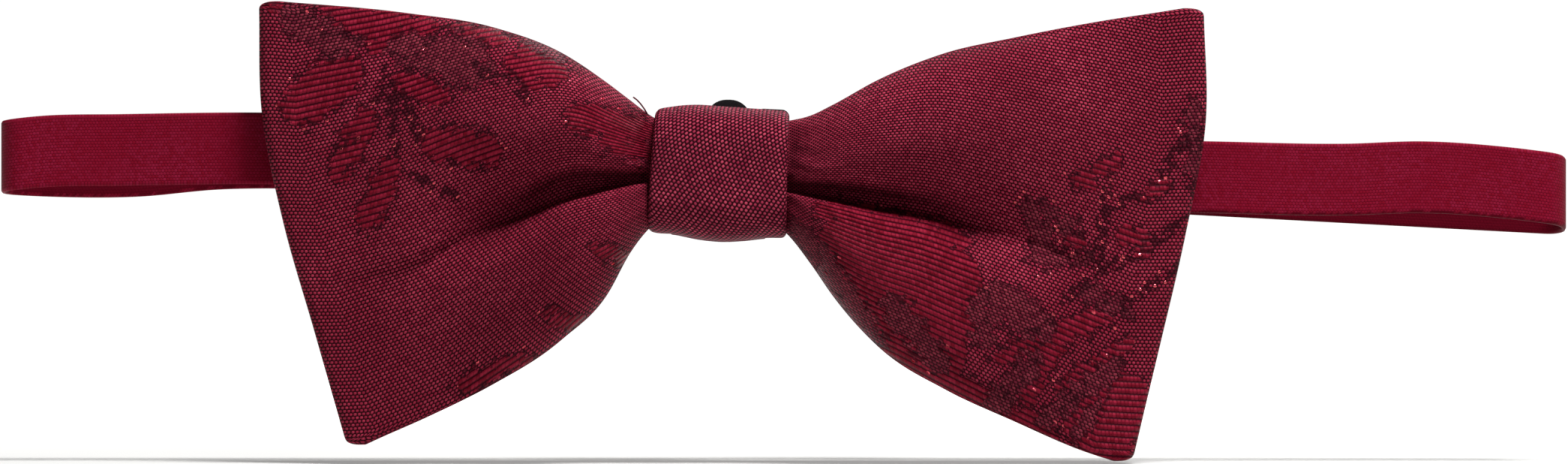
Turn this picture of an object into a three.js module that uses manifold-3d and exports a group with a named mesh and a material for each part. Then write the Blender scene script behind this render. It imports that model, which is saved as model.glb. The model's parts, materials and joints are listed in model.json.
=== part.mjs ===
// A ready-tied bow tie. Two folded wings of jacquard are gathered under a wrapped knot, and a satin neck
// strap runs through the back of the knot. The strap closes behind the knot with a ring and a hook, and a
// three-bar slide sets its length. The strap is shown closed, its loop pressed nearly flat.
// Millimetres. +Z is up, the bow faces -Y and the wearer's neck is on the +Y side.
// The origin is on the flat back of the knot, where it rests on the collar.

import * as THREE from "three";
import { mergeVertices } from "three/addons/utils/BufferGeometryUtils.js";
import Module from "manifold-3d";

const wasm = await Module();
wasm.setup();

// ---------------------------------------------------------------- driving sizes

const clearance = 0.3; // between pieces that move on each other
const layerGap = 0.2; // between layers of cloth that lie on each other

const clothThick = 0.45; // jacquard of the wings
const liningThick = 0.5; // stiff interlining inside each ply of a wing
const gatherHeight = 12.9; // the bow where the knot squeezes it
const gatherDepth = 8.2;
const gatherCentreZ = -0.35;

// Each wing: its two outer corners as [distance from the middle, height], how far its outer edge bows
// outwards between them, and how quickly its upper and lower edges spread as they leave the knot.
const wings = {
  left: {
    side: -1,
    topCorner: [59.6, 22.1],
    lowCorner: [48.2, -36.3],
    edgeBow: 4.1,
    topSpread: 3.7,
    lowSpread: 1.9,
  },
  right: {
    side: 1,
    topCorner: [63, 21.3],
    lowCorner: [53.9, -38.1],
    edgeBow: 3.3,
    topSpread: 1.8,
    lowSpread: 2.2,
  },
};
const wingStations = [0, 0.06, 0.14, 0.26, 0.42, 0.62, 0.82, 1]; // shares of a wing's length outside the knot
const wingRows = 8; // cells across a wing's height
const foldCells = 3; // cells round a wing's outer fold
const puff = 3; // how far a wing swells forwards past its gathered depth
const creaseShare = 0.75; // how much of that swell the crease from the knot takes away
const creaseRow = 0.52; // where the crease runs, as a share of the wing's height
const creaseWide = 0.12; // and how wide it is, as a share of the same
const creaseReach = 0.7; // the share of the wing's length where the crease has faded out
const centreGap = 0.4; // between the two wings, in the middle of the knot

const knotWide = 18.2;
const bandThick = 0.8; // twill wrapped round the knot
const bandLiningThick = 0.4;
const bandFrontRound = 4.6; // corner radii of the wrapped band
const bandBackRound = 3;
const threadThick = 0.6; // gathering thread
const threadWide = 2.6; // its turns side by side
const stitchThick = 0.36;
const seamStitches = 9; // legs of the zigzag that closes the band
const tackStitches = 7; // legs of the zigzag that holds a turned strap end
const seamLong = 12;
const seamWide = 1.6;

const strapWide = 9.4;
const strapThick = 0.6;
const leftEndX = -93.8; // outermost points of the closed strap
const rightEndX = 110.9;
// Height of the strap's middle line along x.
const frontRunRoute = [
  [-94, 1.8],
  [-60, 2.7],
  [0, 1],
  [64, -0.8],
  [92, -1],
  [111, -2.4],
];
const leftRunRoute = [
  [-94, 1.6],
  [-86, 1.3],
  [-74, 1.3],
  [-58, 2.2],
  [0, 1.8],
];
const tailFoldZ = -3.5; // height of the right back run at its fold
const frontRunCells = 16;
const leftRunCells = 7;
const turnCells = 8; // cells round each turn of the strap
const ringEndTurnBack = 14; // doubled end that holds the ring
const slideEndTurnBack = 8; // doubled end that holds the slide
const returnStub = 2; // what stays round the hook's bar when the slide moves

const closureY = 5; // middle of the ring's thickness, behind the knot
const closureZ = 1.8;
const ringX = 1.25;
const ringBar = 1.1;
const ringSlot = 3.9; // holds the strap's end loop and the hook's tongue
const ringRail = 2.4; // the ring above and below the strap
const ringRound = 2.8;
const sideClearance = 0.45; // between the strap's edges and the rails beside them

const hookThick = 0.8;
const hookBar = 1.3;
const hookSlot = 1.8;
const hookRail = 1.1;
const hookRound = 1;
const tongueWide = 5;
const tongueLip = 0.8; // turned-in lip that catches the ring's bar
const lipPlay = 0.6; // free space between that lip and the bar while the strap is slack

const slideAt = 22; // distance of the slide from the hook's bar
const slideLong = 9;
const slideBar = 1.3;
const slideThick = 0.9;
const slideRail = 1.3;

// ---------------------------------------------------------------- worked-out places

// Middle of the strap from the middle of a bar that it goes round, clear of the bar's corners.
function wrapRadius(barWide, barThick) {
  return Math.hypot(barWide, barThick) / 2 + clearance / 2 + strapThick / 2;
}

function heightOn(route, x) {
  const next = route.findIndex((stop) => stop[0] >= x);
  const after = route[next === -1 ? route.length - 1 : Math.max(next, 1)];
  const before = route[route.indexOf(after) - 1];
  return THREE.MathUtils.mapLinear(x, before[0], after[0], before[1], after[1]);
}

const plyThick = 2 * clothThick + liningThick + 2 * layerGap;
const bandTotal = bandThick + layerGap + bandLiningThick;
const wrapGap = layerGap + threadThick + layerGap; // gathered bow to the inside of the knot
const strapFrontY = -bandTotal - layerGap - strapThick / 2; // middle of the front run
const gatherBackY = strapFrontY - strapThick / 2 - wrapGap;
const gatherFrontY = gatherBackY - gatherDepth;
const wingMidY = (gatherBackY + gatherFrontY) / 2;
const edgeHalf = plyThick + clearance / 2; // half the depth of a wing at its edges and outer fold
const gatherTop = gatherCentreZ + gatherHeight / 2;
const gatherLow = gatherCentreZ - gatherHeight / 2;
const knotEdge = knotWide / 2 + clearance; // where a wing starts to spread
const strapCornerRoom = 0.6 * (bandBackRound - bandTotal); // strap's edges to the band's rounded corners
const strapAtKnot = [-1, 1].map((side) => heightOn(frontRunRoute, (side * knotWide) / 2));
const strapTop = Math.max(...strapAtKnot) + strapWide / 2;
const strapLow = Math.min(...strapAtKnot) - strapWide / 2;
const knotTop = Math.max(gatherTop + wrapGap, strapTop + strapCornerRoom) + bandTotal;
const knotLow = Math.min(gatherLow - wrapGap, strapLow - strapCornerRoom) - bandTotal;
const knotFrontY = gatherFrontY - wrapGap - bandTotal;

const railInner = strapWide / 2 + sideClearance;
const ringBarX = ringX - ringSlot / 2 - ringBar / 2; // the bar that the strap's end goes round
const ringSlotEnd = ringX + ringSlot / 2;
const ringWrap = wrapRadius(ringBar, ringBar);
const leftRunY = closureY - ringWrap;
const leftReturnY = closureY + ringWrap;
const hookY = closureY + ringBar / 2 + clearance + hookThick / 2;
const hookBarX = ringSlotEnd + ringBar + clearance + hookBar + hookSlot + hookBar / 2;
const hookWrap = wrapRadius(hookBar, hookThick);
const tailY = hookY - hookWrap; // middle of the right back run
const tailReturnY = hookY + hookWrap;
const leftTurn = (leftRunY - strapFrontY) / 2; // radius of the strap's left turn
const rightTurn = (tailY - strapFrontY) / 2;
const leftTurnX = leftEndX + strapThick / 2 + leftTurn;
const rightTurnX = rightEndX - strapThick / 2 - rightTurn;
const tailTilt = Math.atan2(closureZ - tailFoldZ, rightTurnX - hookBarX);
const tailLong = (rightTurnX - hookBarX) / Math.cos(tailTilt);
const slideLoopY = tailY + strapThick + clearance; // the sewn end's layer next to the right back run
const slideWrap = wrapRadius(slideBar, slideThick);
const slideBarY = slideLoopY + slideWrap;
const slideFrontY = tailY - strapThick / 2 - clearance - slideThick / 2;

// ---------------------------------------------------------------- materials

const finish = (color, roughness, metalness = 0) =>
  new THREE.MeshStandardMaterial({ color, roughness, metalness });
const jacquard = finish(0x6f1428, 0.6);
const knotTwill = finish(0x8a2238, 0.5);
const satin = finish(0x6e0a26, 0.42);
const canvas = finish(0xe4ddd0, 0.9);
const thread = finish(0x5c0e20, 0.7);
const blackEnamel = finish(0x15161a, 0.28);

// ---------------------------------------------------------------- shared shapes

const lerp = THREE.MathUtils.lerp;
const point = (x, y) => new THREE.Vector2(x, y);
const axisX = new THREE.Vector3(1, 0, 0);
const axisY = new THREE.Vector3(0, 1, 0);
const axisZ = new THREE.Vector3(0, 0, 1);
// Turn an outline drawn flat so that it is extruded along X, or towards -Y.
const alongX = new THREE.Matrix4().makeBasis(axisY, axisZ, axisX);
const towardsFront = new THREE.Matrix4().makeBasis(axisX, axisZ, axisY.clone().negate());

function solid(geometry) {
  const bare = geometry.clone();
  bare.deleteAttribute("normal");
  bare.deleteAttribute("uv");
  const merged = mergeVertices(bare);
  return new wasm.Manifold(
    new wasm.Mesh({
      numProp: 3,
      vertProperties: merged.attributes.position.array,
      triVerts: new Uint32Array(merged.index.array),
    }),
  );
}

function geometryOf(made) {
  const mesh = made.getMesh();
  const geometry = new THREE.BufferGeometry();
  geometry.setAttribute("position", new THREE.BufferAttribute(mesh.vertProperties, 3));
  geometry.setIndex(new THREE.BufferAttribute(mesh.triVerts, 1));
  return geometry;
}

const join = (...parts) =>
  geometryOf(parts.map(solid).reduce((whole, part) => whole.add(part)));

const extrude = (shape, depth) =>
  new THREE.ExtrudeGeometry(shape, { depth, bevelEnabled: false, curveSegments: 5 });

// A rectangle with its left and right corners rounded by their own radii.
function roundedBox(Outline, left, right, low, top, leftRound, rightRound) {
  const outline = new Outline();
  outline.moveTo(left + leftRound, low);
  outline.lineTo(right - rightRound, low);
  outline.absarc(right - rightRound, low + rightRound, rightRound, -Math.PI / 2, 0, false);
  outline.absarc(right - rightRound, top - rightRound, rightRound, 0, Math.PI / 2, false);
  outline.absarc(left + leftRound, top - leftRound, leftRound, Math.PI / 2, Math.PI, false);
  outline.absarc(left + leftRound, low + leftRound, leftRound, Math.PI, Math.PI * 1.5, false);
  return outline;
}

// A strip of even thickness along flat points, as wide as the strip along Z.
function ribbon(points, thick, wide) {
  const edge = (side) =>
    points.map((here, i) => {
      const before = points[Math.max(i - 1, 0)];
      const after = points[Math.min(i + 1, points.length - 1)];
      const along = after.clone().sub(before).normalize();
      return point(here.x - (side * along.y * thick) / 2, here.y + (side * along.x * thick) / 2);
    });
  const shape = new THREE.Shape([...edge(1), ...edge(-1).reverse()]);
  return extrude(shape, wide).translate(0, 0, -wide / 2);
}

const straight = (from, to, cells) =>
  Array.from({ length: cells + 1 }, (_, i) => from.clone().lerp(to, i / cells));

const arc = (x, y, radius, from, to) =>
  Array.from({ length: turnCells + 1 }, (_, i) => {
    const angle = lerp(from, to, i / turnCells);
    return point(x + radius * Math.cos(angle), y + radius * Math.sin(angle));
  });

function zigzag(fromX, toX, fromY, toY, legs) {
  const corners = Array.from({ length: legs + 1 }, (_, i) =>
    point(lerp(fromX, toX, i / legs), i % 2 ? toY : fromY),
  );
  return ribbon(corners, stitchThick, stitchThick);
}

// Lift each vertex by a height that its own place gives.
function lifted(geometry, height) {
  const place = geometry.attributes.position;
  for (let i = 0; i < place.count; i++) {
    place.setZ(i, place.getZ(i) + height(place.getX(i), place.getY(i)));
  }
  return geometry;
}

const group = new THREE.Group();

function add(name, geometry, material, parent = group) {
  const mesh = new THREE.Mesh(geometry, material);
  mesh.name = name;
  parent.add(mesh);
}

// ---------------------------------------------------------------- wings

const spread = (rate, t) => (1 - Math.exp(-rate * t)) / (1 - Math.exp(-rate));

// Height of a wing's upper or lower edge at a distance from the middle.
function edgeHeight(start, corner, rate, distance) {
  const t = Math.max(0, (distance - knotEdge) / (corner[0] - knotEdge));
  return lerp(start, corner[1], spread(rate, Math.min(t, 1)));
}

// Distance from the middle of a wing's outer edge, v running from its low corner to its top one.
const outerEdge = (wing, v) =>
  lerp(wing.lowCorner[0], wing.topCorner[0], v) + 4 * wing.edgeBow * v * (1 - v);

// How far a ply stands off the wing's edges, u running from the knot to the outer fold.
function swell(u, v, extra) {
  const across = 1 - Math.abs(2 * v - 1) ** 2.5;
  const along = (gatherDepth / 2 - edgeHalf) * (1 - u) + extra * Math.sin(Math.PI * Math.sqrt(u));
  return along * across;
}

function crease(u, v) {
  const fade = 1 - THREE.MathUtils.smoothstep(u, 0, creaseReach);
  return 1 - creaseShare * fade * Math.exp(-(((v - creaseRow) / creaseWide) ** 2));
}

// A strip folded into the wing's loop, from one depth inside its outer face to another.
function wingLoop(wing, fromDepth, toDepth, edgeInset, start) {
  const plyCells = wingStations.length;
  const cells = 2 * plyCells + foldCells;
  const geometry = new THREE.BoxGeometry(1, 1, 1, cells, wingRows, 1);
  const place = geometry.attributes.position;
  for (let i = 0; i < place.count; i++) {
    const along = Math.round((place.getX(i) + 0.5) * cells);
    const w = place.getZ(i) + 0.5;
    const depth = wing.side > 0 ? lerp(toDepth, fromDepth, w) : lerp(fromDepth, toDepth, w);
    const station = Math.min(along, cells - along, plyCells);
    const u = station === 0 ? 0 : wingStations[station - 1];
    const reach = (v) => (station === 0 ? start : lerp(knotEdge, outerEdge(wing, v) - edgeHalf, u));
    const top = edgeHeight(gatherTop, wing.topCorner, wing.topSpread, reach(1));
    const low = edgeHeight(gatherLow, wing.lowCorner, wing.lowSpread, reach(0));
    const height = lerp(low + edgeInset, top - edgeInset, place.getY(i) + 0.5);
    const v = (height - low) / (top - low);
    const turn = THREE.MathUtils.clamp((along - plyCells) / foldCells, 0, 1) * Math.PI;
    const standOff = turn < Math.PI / 2 ? -swell(u, v, puff) * crease(u, v) : swell(u, v, 0);
    const half = edgeHalf - depth;
    const out = reach(v) + half * Math.sin(turn);
    place.setXYZ(i, wing.side * out, wingMidY - half * Math.cos(turn) + standOff, height);
  }
  return geometry;
}

for (const [name, wing] of Object.entries(wings)) {
  const start = centreGap / 2;
  const pocket = clothThick; // depth at which the cloth's hollow for the interlining starts
  const whole = solid(wingLoop(wing, 0, plyThick, 0, start));
  const hollow = solid(wingLoop(wing, pocket, plyThick - pocket, clothThick, start - centreGap));
  add(`${name}_wing_cloth`, geometryOf(whole.subtract(hollow)), jacquard);
  const liningDepth = clothThick + layerGap;
  const lining = wingLoop(wing, liningDepth, plyThick - liningDepth, liningDepth + layerGap, start);
  add(`${name}_wing_interlining`, lining, canvas);
}

// ---------------------------------------------------------------- knot

// A ring round the knot, its outer face a distance inside the knot's own.
function knotRing(inside, thick, wide) {
  const outline = (Outline, depth) =>
    roundedBox(
      Outline,
      knotFrontY + depth,
      -depth,
      knotLow + depth,
      knotTop - depth,
      bandFrontRound - depth,
      bandBackRound - depth,
    );
  const shape = outline(THREE.Shape, inside);
  shape.holes.push(outline(THREE.Path, inside + thick));
  return extrude(shape, wide).translate(0, 0, -wide / 2).applyMatrix4(alongX);
}

add("knot_band", knotRing(0, bandThick, knotWide), knotTwill);
add("knot_band_interlining", knotRing(bandThick + layerGap, bandLiningThick, knotWide - 1), canvas);

const seam = zigzag(-seamLong / 2, seamLong / 2, wingMidY, wingMidY + seamWide, seamStitches);
add("knot_seam_stitches", seam.translate(0, 0, knotLow - layerGap - stitchThick / 2), thread);

const threadHole = layerGap / 2;
function threadOutline(Outline, out) {
  const round = bandFrontRound - bandTotal - layerGap - threadThick + out;
  return roundedBox(
    Outline,
    gatherFrontY - threadHole - out,
    gatherBackY + threadHole + out,
    gatherLow - threadHole - out,
    gatherTop + threadHole + out,
    round,
    round,
  );
}
const threadShape = threadOutline(THREE.Shape, threadThick);
threadShape.holes.push(threadOutline(THREE.Path, 0));
const threadRing = extrude(threadShape, threadWide).translate(0, 0, -threadWide / 2);
add("gathering_thread", threadRing.applyMatrix4(alongX), thread);

// ---------------------------------------------------------------- neck strap, front run and left half

const turnGap = clearance; // between the strap's lengths where one ends and the next begins
const frontRun = ribbon(
  straight(point(leftTurnX + turnGap, strapFrontY), point(rightTurnX - turnGap, strapFrontY), frontRunCells),
  strapThick,
  strapWide,
);
add("strap_front_run", lifted(frontRun, (x) => heightOn(frontRunRoute, x)), satin);

const leftMiddleY = (strapFrontY + leftRunY) / 2;
const leftTurnShape = ribbon(
  arc(leftTurnX, leftMiddleY, leftTurn, 1.5 * Math.PI, 0.5 * Math.PI),
  strapThick,
  strapWide,
);
const leftTurnShare = (y) => THREE.MathUtils.smoothstep(y, strapFrontY, leftRunY);
const leftTurnLift = (x, y) =>
  lerp(heightOn(frontRunRoute, leftTurnX), heightOn(leftRunRoute, leftTurnX), leftTurnShare(y));
add("strap_left_turn", lifted(leftTurnShape, leftTurnLift), satin);

const leftRunPath = [
  ...straight(point(leftTurnX + turnGap, leftRunY), point(ringBarX, leftRunY), leftRunCells),
  ...arc(ringBarX, closureY, ringWrap, -Math.PI / 2, Math.PI / 2).slice(1),
  point(ringBarX - ringEndTurnBack, leftReturnY),
];
const leftRun = ribbon(leftRunPath, strapThick, strapWide);
add("strap_left_back_run", lifted(leftRun, (x) => heightOn(leftRunRoute, x)), satin);

const tackReach = strapWide / 2 - 1; // the zigzag stops short of the strap's edges
function barTack(x, y, z) {
  const tack = zigzag(-tackReach, tackReach, 0, seamWide, tackStitches);
  const upright = new THREE.Matrix4().makeBasis(axisZ, axisX, axisY);
  return tack.applyMatrix4(upright).translate(x, y, z);
}
const tackOut = strapThick / 2 + layerGap + stitchThick / 2;
const ringTackX = ringBarX - ringEndTurnBack + seamWide;
const ringTackZ = heightOn(leftRunRoute, ringTackX);
add("ring_bar_tack", barTack(ringTackX, leftReturnY + tackOut, ringTackZ), thread);

// ---------------------------------------------------------------- closure ring

const ringReach = railInner + ringRail;
const ringShape = roundedBox(
  THREE.Shape,
  ringBarX - ringBar / 2,
  ringSlotEnd + ringBar,
  -ringReach,
  ringReach,
  ringRound,
  ringRound,
);
ringShape.holes.push(
  roundedBox(THREE.Path, ringBarX + ringBar / 2, ringSlotEnd, -railInner, railInner, 0.6, 0.6),
);
const ring = extrude(ringShape, ringBar).applyMatrix4(towardsFront);
add("closure_ring", ring.translate(0, closureY + ringBar / 2, closureZ), blackEnamel);

// ---------------------------------------------------------------- right half of the strap

// Its pieces are placed from the hook's bar, x running along the strap towards its right turn.
const tail = new THREE.Group();
tail.position.set(hookBarX, 0, closureZ);
tail.rotation.y = tailTilt;
group.add(tail);

const rightMiddleY = (strapFrontY + tailY) / 2;
const rightTurnShape = ribbon(
  arc(rightTurnX, rightMiddleY, rightTurn, -Math.PI / 2, Math.PI / 2),
  strapThick,
  strapWide,
);
const rightTurnShare = (y) => THREE.MathUtils.smoothstep(y, strapFrontY, tailY);
const rightTurnLift = (x, y) => lerp(heightOn(frontRunRoute, rightTurnX), tailFoldZ, rightTurnShare(y));
add("strap_right_turn", lifted(rightTurnShape, rightTurnLift), satin);

const tailEnd = tailLong - turnGap - Math.tan(tailTilt) * (strapWide / 2);
const tailPath = [
  point(tailEnd, tailY),
  point(0, tailY),
  ...arc(0, hookY, hookWrap, 1.5 * Math.PI, 0.5 * Math.PI).slice(1),
  point(returnStub, tailReturnY),
];
add("strap_right_back_run", ribbon(tailPath, strapThick, strapWide), satin, tail);

const slideLoopBackY = slideBarY + slideWrap;
const slideLoopStart = slideAt - slideEndTurnBack - 2;
const returnPath = [
  point(returnStub + clearance, tailReturnY),
  point(slideLoopStart - clearance, slideLoopBackY),
];
add("strap_return_run", ribbon(returnPath, strapThick, strapWide), satin, tail);

const slideLoopPath = [
  point(slideLoopStart, slideLoopBackY),
  ...arc(slideAt, slideBarY, slideWrap, Math.PI / 2, -Math.PI / 2),
  point(slideAt - slideEndTurnBack, slideLoopY),
];
add("strap_sewn_end", ribbon(slideLoopPath, strapThick, strapWide), satin, tail);
const slideTackX = slideAt - slideEndTurnBack + seamWide / 2;
add("slide_bar_tack", barTack(slideTackX, slideLoopBackY + tackOut, 0), thread, tail);

// ---------------------------------------------------------------- hook

const hookLeft = -hookBar / 2 - hookSlot - hookBar;
const hookReach = railInner + hookRail;
const hookShape = roundedBox(
  THREE.Shape,
  hookLeft,
  hookBar / 2,
  -hookReach,
  hookReach,
  hookRound,
  hookRound,
);
hookShape.holes.push(
  roundedBox(THREE.Path, hookLeft + hookBar, -hookBar / 2, -railInner, railInner, 0.4, 0.4),
);
const hookPlate = extrude(hookShape, hookThick).applyMatrix4(towardsFront);
hookPlate.translate(0, hookY + hookThick / 2, 0);

// The tongue passes behind the ring's far bar, goes down through its slot and turns in under the bar.
const lipEnd = ringSlotEnd - lipPlay - hookBarX;
const legRight = lipEnd - tongueLip;
const legLeft = legRight - hookThick;
const lipBack = closureY - ringBar / 2 - clearance;
const tongueShape = new THREE.Shape([
  point(hookLeft + hookBar / 2, hookY + hookThick / 2),
  point(legLeft, hookY + hookThick / 2),
  point(legLeft, lipBack - hookThick),
  point(lipEnd, lipBack - hookThick),
  point(lipEnd, lipBack),
  point(legRight, lipBack),
  point(legRight, hookY - hookThick / 2),
  point(hookLeft + hookBar / 2, hookY - hookThick / 2),
]);
const tongue = extrude(tongueShape, tongueWide).translate(0, 0, -tongueWide / 2);
add("closure_hook", join(hookPlate, tongue), blackEnamel, tail);

// ---------------------------------------------------------------- slide

// Its rails arch from the two outer bars, in front of the strap, to the middle bar behind it.
const outerBarAt = slideLong / 2 - slideBar / 2;
const railCurve = new THREE.SplineCurve([
  point(-slideLong / 2, slideFrontY),
  point(-outerBarAt, slideFrontY),
  point(0, slideBarY),
  point(outerBarAt, slideFrontY),
  point(slideLong / 2, slideFrontY),
]);
const railPoints = railCurve.getPoints(16).map((p) => point(p.x + slideAt, p.y));
const railZ = railInner + slideRail / 2;
const rail = (z) => ribbon(railPoints, slideThick, slideRail).translate(0, 0, z);
const bar = (x, y) => {
  const length = 2 * railZ;
  return new THREE.BoxGeometry(slideBar, slideThick, length).translate(slideAt + x, y, 0);
};
const slide = join(
  rail(railZ),
  rail(-railZ),
  bar(-outerBarAt, slideFrontY),
  bar(0, slideBarY),
  bar(outerBarAt, slideFrontY),
);
add("strap_slide", slide, blackEnamel, tail);

export default group;
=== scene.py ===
"""A ready-tied bow tie: jacquard wings gathered under a twill knot, on a satin neck strap, black fittings.

Sizes in this script are millimetres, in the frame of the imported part, and are scaled to metres where a mesh
is made. The front of the bow faces -Y, +X is to the right and +Z is up.
"""

import json
import math

import bmesh
import bpy
import numpy as np
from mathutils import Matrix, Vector


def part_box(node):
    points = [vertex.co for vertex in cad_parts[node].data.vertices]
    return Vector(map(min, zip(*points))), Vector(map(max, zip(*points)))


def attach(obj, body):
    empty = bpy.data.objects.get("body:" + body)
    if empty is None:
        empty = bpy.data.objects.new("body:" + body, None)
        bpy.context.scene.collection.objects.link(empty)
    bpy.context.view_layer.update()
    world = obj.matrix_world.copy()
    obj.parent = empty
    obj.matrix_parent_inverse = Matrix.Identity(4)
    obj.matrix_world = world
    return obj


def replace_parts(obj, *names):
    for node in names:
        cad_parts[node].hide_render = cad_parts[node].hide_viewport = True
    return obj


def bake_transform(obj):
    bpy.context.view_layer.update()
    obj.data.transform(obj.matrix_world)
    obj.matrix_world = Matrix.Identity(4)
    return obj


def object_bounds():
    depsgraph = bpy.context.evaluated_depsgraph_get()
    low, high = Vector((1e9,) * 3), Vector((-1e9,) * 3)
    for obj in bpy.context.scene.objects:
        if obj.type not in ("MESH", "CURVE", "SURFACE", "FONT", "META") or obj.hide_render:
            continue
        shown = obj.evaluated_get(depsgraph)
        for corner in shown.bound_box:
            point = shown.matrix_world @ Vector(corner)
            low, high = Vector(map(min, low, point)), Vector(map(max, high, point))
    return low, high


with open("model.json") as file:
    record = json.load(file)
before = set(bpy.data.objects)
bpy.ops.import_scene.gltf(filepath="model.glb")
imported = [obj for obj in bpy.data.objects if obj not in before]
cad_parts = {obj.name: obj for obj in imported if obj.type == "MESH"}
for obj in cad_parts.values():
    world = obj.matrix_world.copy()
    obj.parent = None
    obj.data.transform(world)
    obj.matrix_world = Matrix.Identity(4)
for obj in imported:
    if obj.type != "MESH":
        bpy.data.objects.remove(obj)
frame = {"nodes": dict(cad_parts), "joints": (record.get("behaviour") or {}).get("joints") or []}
cad_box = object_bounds()

MM = 0.001
FLOOR_GAP = 0.4  # between the floor and the bow's lowest point
GATHER_THREAD = 0.7  # how far the gathering thread's turns stand out from the cloth


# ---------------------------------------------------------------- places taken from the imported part


def box_mm(node):
    """A node's lowest and highest corners at rest, in millimetres."""
    low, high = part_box(node)
    return np.array(low) / MM, np.array(high) / MM


knot_low, knot_high = box_mm("knot_band")
ring_low, ring_high = box_mm("closure_ring")
front_low, front_high = box_mm("strap_front_run")
turn_left_low, turn_left_high = box_mm("strap_left_turn")
turn_right_high = box_mm("strap_right_turn")[1]
thread_low, thread_high = box_mm("gathering_thread")
floor_height = cad_box[0].z / MM - FLOOR_GAP

joints = {joint["name"]: joint for joint in frame["joints"]}
hook_joint = joints["hook_swing"]
slide_joint = joints["slide_adjust"]
hook_bar = np.array(hook_joint["pos_m"]) / MM
tail_along = np.array(slide_joint["axis"])  # along the right half of the strap, towards its turn
tail_up = -np.array(hook_joint["axis"])

STRAP_THICK = front_high[1] - front_low[1]
STRAP_WIDE = 9.4
STRAP_FRONT_Y = (front_low[1] + front_high[1]) / 2
GATHER_FRONT_Y = thread_low[1] + GATHER_THREAD
GATHER_BACK_Y = thread_high[1] - GATHER_THREAD
WING_MIDDLE_Y = (GATHER_FRONT_Y + GATHER_BACK_Y) / 2


# ---------------------------------------------------------------- camera, light and floor


def aim(obj, target):
    obj.rotation_euler = (Vector(target) - obj.location).to_track_quat("-Z", "Y").to_euler()


def make_camera():
    lens = 200
    sensor = 36
    frame_wide = 203.6  # what the frame's width covers at the middle of the wings
    centre = Vector((8.57, WING_MIDDLE_Y, -8.0))
    data = bpy.data.cameras.new("camera")
    data.lens = lens
    data.sensor_width = sensor
    camera = bpy.data.objects.new("camera", data)
    camera.location = (centre - Vector((0, frame_wide * lens / sensor, 0))) * MM
    camera.rotation_euler = (math.pi / 2, 0, 0)
    bpy.context.collection.objects.link(camera)
    bpy.context.scene.camera = camera


BOW_MIDDLE = (0.005, 0, -0.008)


def area_light(name, place, size, power, target=BOW_MIDDLE):
    """A round soft light. Its place, size and target are in metres, and its power in watts."""
    data = bpy.data.lights.new(name, "AREA")
    data.shape = "DISK"
    data.size = size
    data.energy = power
    light = bpy.data.objects.new(name, data)
    light.location = place
    bpy.context.collection.objects.link(light)
    aim(light, target)


def hex_colour(code, alpha=1.0):
    """sRGB hex to the linear values that Blender's sockets take."""
    parts = [int(code[i : i + 2], 16) / 255 for i in (1, 3, 5)]
    linear = [p / 12.92 if p <= 0.04045 else ((p + 0.055) / 1.055) ** 2.4 for p in parts]
    return (*linear, alpha)


# Settings for a mix of two colours, whose result is the node's third output, and a smooth change of range.
COLOUR_MIX = {"data_type": "RGBA", "out": 2}
SMOOTH = {"interpolation_type": "SMOOTHSTEP"}


def add_node(tree, kind, inputs=None, out=0, **settings):
    """Adds a node and returns one of its outputs. inputs maps its sockets to values or to other outputs."""
    made = tree.nodes.new(kind)
    for key, value in settings.items():
        setattr(made, key, value)
    for key, value in (inputs or {}).items():
        if isinstance(value, bpy.types.NodeSocket):
            tree.links.new(value, made.inputs[key])
        else:
            made.inputs[key].default_value = value
    return made.outputs[out] if made.outputs else made


def new_material(name):
    material = bpy.data.materials.new(name)
    material.use_nodes = True
    material.node_tree.nodes.clear()
    return material, material.node_tree


make_camera()
area_light("key", (0.22, -0.34, 0.9), 0.3, 16.2)
area_light("front_fill", (0.45, -1.2, 0.45), 0.5, 0.9)
area_light("back_light", (0.25, 0.6, 0.5), 0.6, 2.5)



def make_studio_walls():
    """The studio's far walls look pale, but they are too far off to add much light."""
    light_given = 0.05
    brightness_seen = 1.15
    world = bpy.data.worlds.new("studio")
    world.use_nodes = True
    tree = world.node_tree
    walls = tree.nodes["Background"]
    walls.inputs["Color"].default_value = hex_colour("#F4F4F3")
    seen = add_node(tree, "ShaderNodeLightPath")
    strength = add_node(
        tree, "ShaderNodeMapRange", {0: seen, 1: 0, 2: 1, 3: light_given, 4: brightness_seen}, **SMOOTH
    )
    tree.links.new(strength, walls.inputs["Strength"])
    bpy.context.scene.world = world
    bpy.context.scene.view_settings.view_transform = "Standard"


make_studio_walls()


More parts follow.
